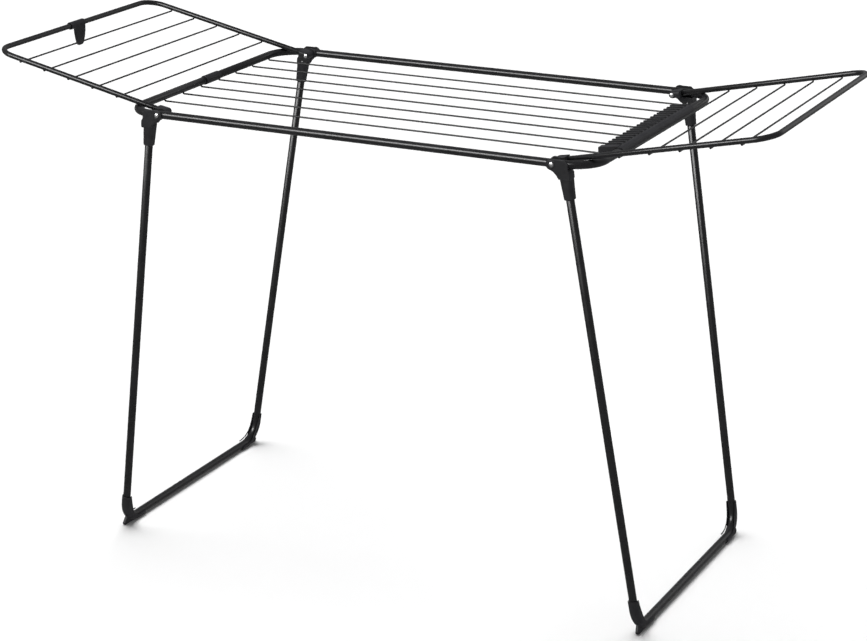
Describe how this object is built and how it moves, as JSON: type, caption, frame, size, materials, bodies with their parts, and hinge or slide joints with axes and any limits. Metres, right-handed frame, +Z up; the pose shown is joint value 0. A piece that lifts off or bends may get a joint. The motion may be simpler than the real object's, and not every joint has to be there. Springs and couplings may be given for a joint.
{
  "type": "folding clothes drying rack",
  "caption": "Folding floor-standing airer: a frame of line wires on two hinged tube legs, with two hinged drying wings, a hanger comb and a hanger hook.",
  "frame": {"origin": "centre of the overall box at floor level", "axes": "+X along the long rails toward the end with the hanger comb, -Y toward the front, +Z up"},
  "size_m": [1.6988, 0.641, 1.0344],
  "materials": {
    "black_steel": "satin black powder coat",
    "black_plastic": "matte black moulded plastic",
    "bright_steel": "bright zinc plate"
  },
  "bodies": {
    "frame": {"front_half_loop": "black_steel", "back_half_loop": "black_steel", "left_splice_spigot": "bright_steel", "right_splice_spigot": "bright_steel", "left_splice_sleeve": "black_plastic", "hanger_comb": "black_plastic", "line_wire_1": "black_steel", "line_wire_2": "black_steel", "line_wire_3": "black_steel", "line_wire_4": "black_steel", "line_wire_5": "black_steel", "line_wire_6": "black_steel", "line_wire_7": "black_steel", "left_front_rivet": "bright_steel", "left_back_rivet": "bright_steel", "right_front_rivet": "bright_steel", "right_back_rivet": "bright_steel"},
    "left_legs": {"left_leg_tube": "black_steel", "left_front_leg_head": "black_plastic", "left_back_leg_head": "black_plastic", "left_front_foot": "black_plastic", "left_back_foot": "black_plastic"},
    "right_legs": {"right_leg_tube": "black_steel", "right_front_leg_head": "black_plastic", "right_back_leg_head": "black_plastic", "right_front_foot": "black_plastic", "right_back_foot": "black_plastic"},
    "left_wing": {"left_wing_tube": "black_steel", "left_front_wing_sleeve": "black_plastic", "left_back_wing_sleeve": "black_plastic", "left_wing_wire_1": "black_steel", "left_wing_wire_2": "black_steel", "left_wing_wire_3": "black_steel", "left_wing_wire_4": "black_steel", "left_wing_wire_5": "black_steel", "hanger_hook": "black_plastic"},
    "right_wing": {"right_wing_tube": "black_steel", "right_front_wing_sleeve": "black_plastic", "right_back_wing_sleeve": "black_plastic", "right_wing_wire_1": "black_steel", "right_wing_wire_2": "black_steel", "right_wing_wire_3": "black_steel", "right_wing_wire_4": "black_steel", "right_wing_wire_5": "black_steel"}
  },
  "joints": [
    {"name": "left_legs_fold", "type": "hinge", "parent": "frame", "child": "left_legs", "pos_m": [-0.431, 0, 0.9388], "axis": [0, -1, 0], "range_deg": [0, 97.5]},
    {"name": "right_legs_fold", "type": "hinge", "parent": "frame", "child": "right_legs", "pos_m": [0.431, 0, 0.9388], "axis": [0, 1, 0], "range_deg": [0, 92]},
    {"name": "left_wing_fold", "type": "hinge", "parent": "frame", "child": "left_wing", "pos_m": [-0.431, 0, 0.9388], "axis": [0, 1, 0], "range_deg": [0, 167]},
    {"name": "right_wing_fold", "type": "hinge", "parent": "frame", "child": "right_wing", "pos_m": [0.431, 0, 0.9388], "axis": [0, -1, 0], "range_deg": [0, 167]}
  ]
}
